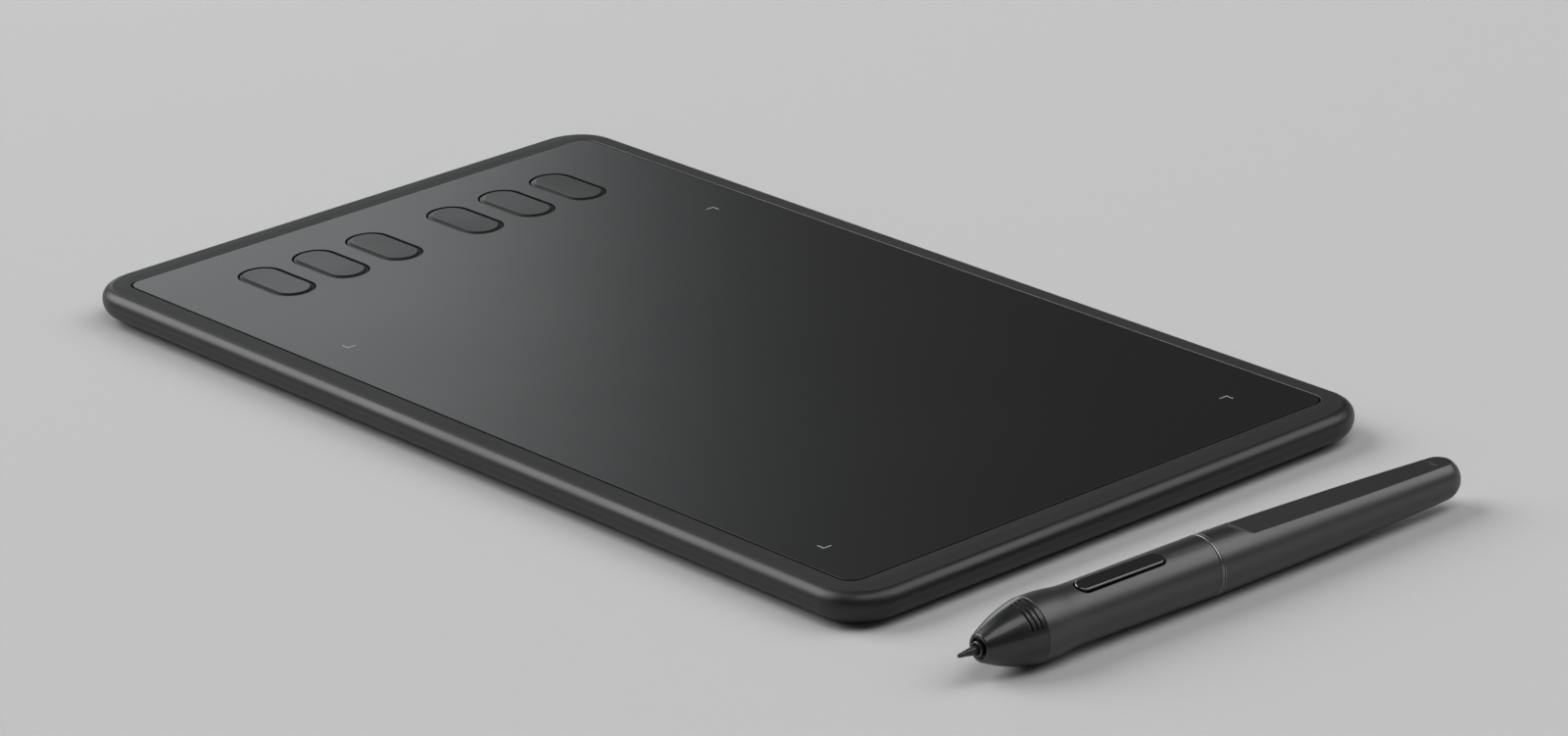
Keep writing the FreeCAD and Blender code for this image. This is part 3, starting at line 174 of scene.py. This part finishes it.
class Finish:
    """A procedural material in the part's own metres."""

    def __init__(self, name, colour, roughness, specular=0.5, metallic=0.0, coat=0.0):
        self.material = bpy.data.materials.new(name)
        self.material.use_nodes = True
        self.nodes = self.material.node_tree.nodes
        self.links = self.material.node_tree.links
        self.nodes.clear()
        self.shader = self.nodes.new("ShaderNodeBsdfPrincipled")
        out = self.nodes.new("ShaderNodeOutputMaterial")
        self.links.new(self.shader.outputs[0], out.inputs["Surface"])
        self.place = self.nodes.new("ShaderNodeTexCoord").outputs["Object"]
        self.shader.inputs["Base Color"].default_value = (*colour, 1.0)
        self.shader.inputs["Roughness"].default_value = roughness
        self.shader.inputs["Specular IOR Level"].default_value = specular
        self.shader.inputs["Metallic"].default_value = metallic
        self.shader.inputs["Coat Weight"].default_value = coat
        self.colour = None
        self.base = colour
        self.normal = None
        self.gap = None

    def noise(self, size, detail=2.0, stretch=(1, 1, 1)):
        """Noise whose features are about size metres across."""
        spread = self.nodes.new("ShaderNodeMapping")
        spread.inputs["Scale"].default_value = stretch
        self.links.new(self.place, spread.inputs["Vector"])
        made = self.nodes.new("ShaderNodeTexNoise")
        made.inputs["Scale"].default_value = 1 / size
        made.inputs["Detail"].default_value = detail
        self.links.new(spread.outputs[0], made.inputs["Vector"])
        return made.outputs["Fac"]

    def ramp(self, value, low, high, out_low=0.0, out_high=1.0):
        made = self.nodes.new("ShaderNodeMapRange")
        made.inputs["From Min"].default_value = low
        made.inputs["From Max"].default_value = high
        made.inputs["To Min"].default_value = out_low
        made.inputs["To Max"].default_value = out_high
        self.links.new(value, made.inputs["Value"])
        return made.outputs["Result"]

    def tint(self, share, colour):
        """Mixes the colour so far towards another one by share."""
        mix = self.nodes.new("ShaderNodeMix")
        mix.data_type = "RGBA"
        mix.inputs["B"].default_value = (*colour, 1.0)
        if self.colour is None:
            mix.inputs["A"].default_value = (*self.base, 1.0)
        else:
            self.links.new(self.colour, mix.inputs["A"])
        self.links.new(share, mix.inputs["Factor"])
        self.colour = mix.outputs["Result"]
        self.links.new(self.colour, self.shader.inputs["Base Color"])

    def rough(self, value, low, high, out_low, out_high):
        """Uneven roughness, and matt where shade has been painted into a gap."""
        result = self.ramp(value, low, high, out_low, out_high)
        if self.gap is not None:
            total = self.nodes.new("ShaderNodeMath")
            total.operation = "MULTIPLY_ADD"
            total.inputs[1].default_value = GAP_MATT
            self.links.new(self.gap, total.inputs[0])
            self.links.new(result, total.inputs[2])
            result = total.outputs[0]
        self.links.new(result, self.shader.inputs["Roughness"])

    def paint_gap_shade(self, reach, share=0.92):
        """Painted shade: darker and matt in gaps, grooves and slots, where little light gets in."""
        hidden = self.nodes.new("ShaderNodeAmbientOcclusion")
        hidden.samples = GAP_SAMPLES
        hidden.inputs["Distance"].default_value = reach
        self.gap = self.ramp(hidden.outputs["AO"], GAP_DARK, GAP_PLAIN, share, 0.0)
        # painted shade: the colour goes towards black where the occlusion finds little open sky
        self.tint(self.gap, (0.0, 0.0, 0.0))

    def soften_edges(self, radius):
        """Edges catch the light as if they were slightly rounded."""
        made = self.nodes.new("ShaderNodeBevel")
        made.samples = EDGE_SAMPLES
        made.inputs["Radius"].default_value = radius
        self.normal = made.outputs[0]
        self.links.new(self.normal, self.shader.inputs["Normal"])

    def bump(self, height, depth, strength=1.0):
        """Adds relief of that depth in metres."""
        made = self.nodes.new("ShaderNodeBump")
        made.inputs["Strength"].default_value = strength
        made.inputs["Distance"].default_value = depth
        self.links.new(height, made.inputs["Height"])
        if self.normal is not None:
            self.links.new(self.normal, made.inputs["Normal"])
        self.normal = made.outputs[0]
        self.links.new(self.normal, self.shader.inputs["Normal"])

    def edge_wear_and_highlight(self, radius, colour, share, sharp=0.85, patch=0.0):
        """Lighter along edges as sharp as that, more so in patches: rubbed wear on moulded parts, and a
        painted highlight on the crest of the keys.
        """
        bevel = self.nodes.new("ShaderNodeBevel")
        bevel.samples = WEAR_SAMPLES
        bevel.inputs["Radius"].default_value = radius
        plain = self.nodes.new("ShaderNodeNewGeometry")
        turn = self.nodes.new("ShaderNodeVectorMath")
        turn.operation = "DOT_PRODUCT"
        self.links.new(bevel.outputs[0], turn.inputs[0])
        self.links.new(plain.outputs["Normal"], turn.inputs[1])
        edge = self.ramp(turn.outputs["Value"], 0.995, sharp, 0.0, share)
        patchy = self.ramp(self.noise(0.012), 0.35, 0.65, patch, 1.0)
        both = self.nodes.new("ShaderNodeMath")
        both.operation = "MULTIPLY"
        self.links.new(edge, both.inputs[0])
        self.links.new(patchy, both.inputs[1])
        self.tint(both.outputs[0], colour)


def moulded(name, colour, roughness, specular=0.5, grain=0.00025, depth=0.000006, lighter=1.5,
            worn=0.25, soft_edge=MOULDED_EDGE):
    """Moulded plastic with a fine grain, uneven sheen, rubbed edges and painted shade in its gaps."""
    made = Finish(name, colour, roughness, specular)
    made.soften_edges(soft_edge)
    pale = tuple(min(1.0, c * lighter) for c in colour)
    fine = made.noise(grain, 3.0)
    broad = made.noise(0.035)
    made.tint(made.ramp(fine, 0.35, 0.65, 0.0, 0.30), pale)
    made.tint(made.ramp(broad, 0.35, 0.65, 0.0, 0.25), pale)
    made.edge_wear_and_highlight(RUBBED_EDGE, tuple(min(1.0, c * 3 + 0.01) for c in colour), worn)
    # painted shade in gaps, grooves and slots
    made.paint_gap_shade(GAP_REACH)
    made.rough(broad, 0.3, 0.7, roughness - 0.035, roughness + 0.035)
    made.bump(fine, depth)
    return made


def housing():
    """Housing halves: an etched band on top of the rim, the handled round edge smoother."""
    made = moulded("shell_black", SHELL, 0.40, 0.55, 0.0003, 0.000006)
    facing = made.nodes.new("ShaderNodeNewGeometry")
    split = made.nodes.new("ShaderNodeSeparateXYZ")
    made.links.new(facing.outputs["Normal"], split.inputs[0])
    etched = made.ramp(split.outputs["Z"], 0.96, 0.99, 0.0, 0.30)
    total = made.nodes.new("ShaderNodeMath")
    made.links.new(etched, total.inputs[0])
    made.links.new(made.shader.inputs["Roughness"].links[0].from_socket, total.inputs[1])
    made.links.new(total.outputs[0], made.shader.inputs["Roughness"])
    return made


def key_tops():
    """Keys: matt tops with a painted highlight along the crest all round."""
    made = moulded("keys_black", KEYS, 0.40, 0.22, 0.0002, 0.000004, 1.3, 0.0)
    # painted highlight: a pale line along the crest of each key top
    made.edge_wear_and_highlight(KEY_CREST_HIGHLIGHT, (0.20, 0.205, 0.21), 0.6, 0.980, 0.5)
    return made


def brushed(name, colour, roughness, stretch, grain=0.0002, depth=0.000004, soft_edge=0.00005):
    """Metal with fine lines along one axis."""
    made = Finish(name, colour, roughness, metallic=1.0)
    made.soften_edges(soft_edge)
    lines = made.noise(grain, 3.0, stretch)
    made.tint(made.ramp(lines, 0.3, 0.7, 0.0, 0.35), tuple(c * 0.7 for c in colour))
    made.rough(made.noise(0.004), 0.3, 0.7, roughness - 0.06, roughness + 0.06)
    made.bump(lines, depth)
    return made


def board(name, mask, pad):
    """Circuit board: solder mask over tracks, with bare pads."""
    made = Finish(name, mask, 0.35)
    tracks = made.nodes.new("ShaderNodeTexBrick")
    tracks.inputs["Scale"].default_value = 260
    tracks.inputs["Mortar Size"].default_value = 0.04
    made.links.new(made.place, tracks.inputs["Vector"])
    made.tint(made.ramp(tracks.outputs["Fac"], 0.0, 1.0, 0.0, 0.6), tuple(c * 1.9 for c in mask))
    pads = made.nodes.new("ShaderNodeTexVoronoi")
    pads.inputs["Scale"].default_value = 320
    made.links.new(made.place, pads.inputs["Vector"])
    made.tint(made.ramp(pads.outputs["Distance"], 0.16, 0.12), pad)
    made.bump(tracks.outputs["Fac"], 0.00003)
    made.rough(made.noise(0.01), 0.3, 0.7, 0.3, 0.42)
    return made


def striped(name, colour, line, axis, pitch, share=0.8, metallic=0.0, roughness=0.4):
    """Stripes across one axis, as on a flat cable or a winding."""
    made = Finish(name, colour, roughness, metallic=metallic)
    wave = made.nodes.new("ShaderNodeTexWave")
    wave.bands_direction = axis
    wave.inputs["Scale"].default_value = 0.314 / pitch
    made.links.new(made.place, wave.inputs["Vector"])
    made.tint(made.ramp(wave.outputs["Fac"], 0.35, 0.65, 0.0, share), line)
    made.bump(wave.outputs["Fac"], pitch * 0.2)
    made.rough(made.noise(0.003), 0.3, 0.7, roughness - 0.05, roughness + 0.05)
    return made


# Tones, as linear colours
SHELL = (0.0048, 0.0050, 0.0056)
SURFACE = (0.0042, 0.0042, 0.0047)
KEYS = (0.0065, 0.0067, 0.0071)
PEN = (0.0100, 0.0098, 0.0092)
NOSE = (0.0085, 0.0088, 0.0095)
GLOSS_BLACK = (0.0022, 0.0022, 0.0023)
MARK = (0.310, 0.315, 0.325)


def surface_film():
    """Etched film of the drawing surface: a very fine tooth, faint clouds, a worn sheen and painted
    shade in the seam.
    """
    made = Finish("surface_film", SURFACE, 0.37, 0.36)
    made.soften_edges(0.00008)
    tooth = made.noise(0.00012, 2.0)
    clouds = made.noise(0.05, 3.0)
    made.tint(made.ramp(tooth, 0.3, 0.7, 0.0, 0.25), (0.0085, 0.0086, 0.0094))
    made.tint(made.ramp(clouds, 0.3, 0.7, 0.0, 0.25), (0.0062, 0.0063, 0.0069))
    # painted shade in the seam around the panel
    made.paint_gap_shade(SEAM_REACH)
    made.rough(clouds, 0.25, 0.75, 0.36, 0.38)
    made.bump(tooth, 0.0000035)
    return made


def soft_touch():
    """Matt barrel of the pen: warm grey with a fine grain and fingered patches."""
    return moulded("soft_touch", PEN, 0.41, 1.0, 0.00018, 0.000004, 1.35, 0.2, 0.0003)


def gloss(name, colour, roughness, coat, soft_edge, gap_shade_share):
    """Polished black plastic with faint swirls, dust-fine scratches and painted shade in its gaps."""
    made = Finish(name, colour, roughness, 0.5, coat=coat)
    made.shader.inputs["Coat Roughness"].default_value = 0.08
    made.shader.inputs["Coat IOR"].default_value = 1.9
    made.soften_edges(soft_edge)
    swirl = made.noise(0.006, 4.0)
    scratches = made.noise(0.00035, 2.0, (6, 1, 1))
    made.tint(made.ramp(swirl, 0.35, 0.65, 0.0, 0.4), tuple(c * 1.8 for c in colour))
    made.tint(made.ramp(scratches, 0.60, 0.75, 0.0, 0.25), tuple(c * 4 for c in colour))
    # painted shade in slots and around the switch
    made.paint_gap_shade(GLOSS_GAP_REACH, gap_shade_share)
    made.rough(swirl, 0.3, 0.7, roughness - 0.04, roughness + 0.05)
    made.bump(scratches, 0.000001)
    return made


FINISHES = {
    "shell": housing(),
    "surface": surface_film(),
    "keys": key_tops(),
    "feet": moulded("rubber", (0.012, 0.012, 0.012), 0.75, 0.3, 0.0004, 0.00002),
    "inner_plastic": moulded("inner_abs", (0.020, 0.020, 0.021), 0.5),
    "screws": brushed("screw_steel", (0.42, 0.42, 0.43), 0.33, (1, 1, 4)),
    "plate": brushed("tin_plate", (0.55, 0.55, 0.54), 0.36, (1, 30, 1)),
    "shield": brushed("foil", (0.72, 0.72, 0.73), 0.28, (1, 1, 1), 0.0015, 0.00004),
    "circuit_board": board("solder_mask", (0.010, 0.085, 0.035), (0.62, 0.50, 0.24)),
    "switch_plastic": moulded("switch_body", (0.030, 0.030, 0.032), 0.45),
    "chip": moulded("chip_epoxy", (0.014, 0.014, 0.015), 0.55),
    "ribbon": striped("flat_cable", (0.50, 0.24, 0.06), (0.30, 0.12, 0.03), "Y", 0.001),
    "connector": moulded("connector_ivory", (0.55, 0.52, 0.43), 0.42, lighter=1.2),
    "port_steel": brushed("port_steel", (0.50, 0.50, 0.51), 0.28, (1, 12, 1)),
    "nib": moulded("nib_pom", (0.016, 0.016, 0.017), 0.30, 0.5, 0.0002, 0.000003),
    "holder": brushed("holder_brass", (0.62, 0.45, 0.20), 0.30, (1, 1, 1)),
    "pen_nose": gloss("nose_gloss", NOSE, 0.31, 0.15, 0.00012, 0.7),
    "pen_shell": soft_touch(),
    "ring": brushed("ring_metal", (0.21, 0.205, 0.195), 0.30, (1, 1, 1), soft_edge=0.00018),
    "side_switch": gloss("switch_gloss", GLOSS_BLACK, 0.20, 0.9, 0.00028, 0.92),
    "ferrite": moulded("ferrite_grey", (0.045, 0.045, 0.048), 0.6, lighter=1.6),
    "copper": striped("copper_wire", (0.62, 0.26, 0.10), (0.30, 0.10, 0.03), "Y", 0.0002, metallic=1.0),
}


def assign_finishes():
    """Each CAD node arrives with a plain material named after its slot."""
    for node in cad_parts.values():
        slot_name = node.data.materials[0].name.split(".")[0]
        for place in node.material_slots:
            place.material = FINISHES[slot_name].material


assign_finishes()

# Printed marks at the corners of the active area: place of the corner and the two arms' directions
MARK_ARM = 2.0 * MM
MARK_WIDTH = 0.38 * MM
MARK_HEIGHT = 0.02 * MM
MARK_ROUND = 0.6
MARKS = {
    "mark_near_left": ((-53.0, -54.8), (-1, 1)),
    "mark_near_right": ((104.0, -57.0), (-1, 1)),
    "mark_far_left": ((-62.0, 54.5), (1, -1)),
    "mark_far_right": ((104.5, 52.1), (1, -1)),
}


def add_mark(name, corner, arms):
    """A thin printed angle with rounded ends, raised by the thickness of the ink."""
    x, y = corner[0] * MM, corner[1] * MM
    sx, sy = arms
    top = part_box("surface_panel")[1].z
    half = MARK_WIDTH / 2
    path = [
        (MARK_ARM, -half), (-half, -half), (-half, MARK_ARM),
        (half, MARK_ARM), (half, half), (MARK_ARM, half),
    ]
    mesh = bmesh.new()
    ring = [mesh.verts.new((x + sx * u, y + sy * v, top)) for u, v in path]
    mesh.faces.new(ring)
    tips = [ring[0], ring[2], ring[3], ring[5]]
    bmesh.ops.bevel(mesh, geom=tips, offset=half * MARK_ROUND, segments=3, affect="VERTICES")
    raised = bmesh.ops.extrude_face_region(mesh, geom=list(mesh.faces))
    lifted = [g for g in raised["geom"] if isinstance(g, bmesh.types.BMVert)]
    bmesh.ops.translate(mesh, verts=lifted, vec=(0, 0, MARK_HEIGHT))
    bmesh.ops.recalc_face_normals(mesh, faces=mesh.faces)
    data = bpy.data.meshes.new(name)
    mesh.to_mesh(data)
    mesh.free()
    mark = bpy.data.objects.new(name, data)
    bpy.context.scene.collection.objects.link(mark)
    data.materials.append(INK.material)
    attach(mark, "tablet")


INK = Finish("ink", MARK, 0.5)
INK.tint(INK.ramp(INK.noise(0.0001), 0.4, 0.7, 0.0, 0.4), tuple(c * 0.6 for c in MARK))
INK.bump(INK.noise(0.0002), 0.000003)
for mark_name, (mark_corner, mark_arms) in MARKS.items():
    add_mark(mark_name, mark_corner, mark_arms)

# Floor, a hair under the feet
FLOOR_COLOUR = (0.56, 0.56, 0.565)
FLOOR_HALF = 20.0
FLOOR_HEIGHT = -0.05 * MM


def add_floor():
    data = bpy.data.meshes.new("floor")
    h = FLOOR_HALF
    data.from_pydata([(-h, -h, 0), (h, -h, 0), (h, h, 0), (-h, h, 0)], [], [(0, 1, 2, 3)])
    floor = bpy.data.objects.new("floor", data)
    bpy.context.scene.collection.objects.link(floor)
    floor.location.z = FLOOR_HEIGHT
    made = Finish("floor_paper", FLOOR_COLOUR, 0.85, 0.2)
    made.tint(made.ramp(made.noise(0.4), 0.3, 0.7, 0.0, 0.15), tuple(c * 0.96 for c in FLOOR_COLOUR))
    made.bump(made.noise(0.0015), 0.00002)
    data.materials.append(made.material)


add_floor()

bpy.context.scene.view_settings.view_transform = "Standard"
